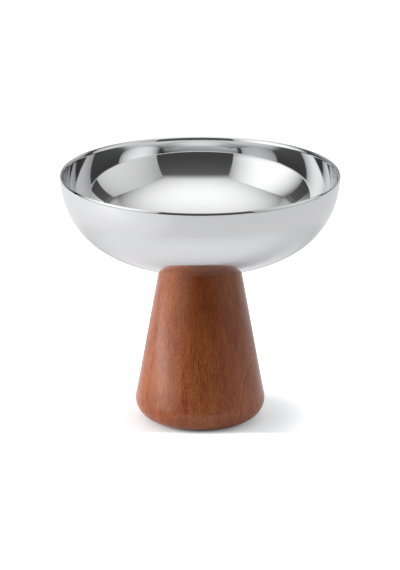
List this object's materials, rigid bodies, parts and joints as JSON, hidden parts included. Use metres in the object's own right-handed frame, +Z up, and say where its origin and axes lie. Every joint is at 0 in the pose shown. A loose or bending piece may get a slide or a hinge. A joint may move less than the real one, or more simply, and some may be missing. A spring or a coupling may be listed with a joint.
{
  "type": "footed dessert bowl",
  "caption": "Round mirror-polished steel dessert bowl, shallow and open at the top, held up by a turned wooden cone foot with a felt pad underneath.",
  "frame": {"origin": "centre of the underside of the felt pad, on the table that the bowl stands on", "axes": "+Z up along the axis that the bowl and the foot are turned about; X and Y are free, because both are round"},
  "size_m": [0.13, 0.13, 0.119],
  "materials": {
    "polished_steel": "mirror polished",
    "stud_steel": "bare",
    "stained_wood": "satin oil over a red-brown stain",
    "zinc_steel": "bright zinc plate",
    "spring_steel": "oiled",
    "felt": "pressed felt"
  },
  "bodies": {
    "root": {"bowl": "polished_steel", "weld_stud": "stud_steel", "foot": "stained_wood", "flat_washer": "zinc_steel", "spring_washer": "spring_steel", "hex_nut": "zinc_steel", "base_pad": "felt"}
  },
  "joints": []
}
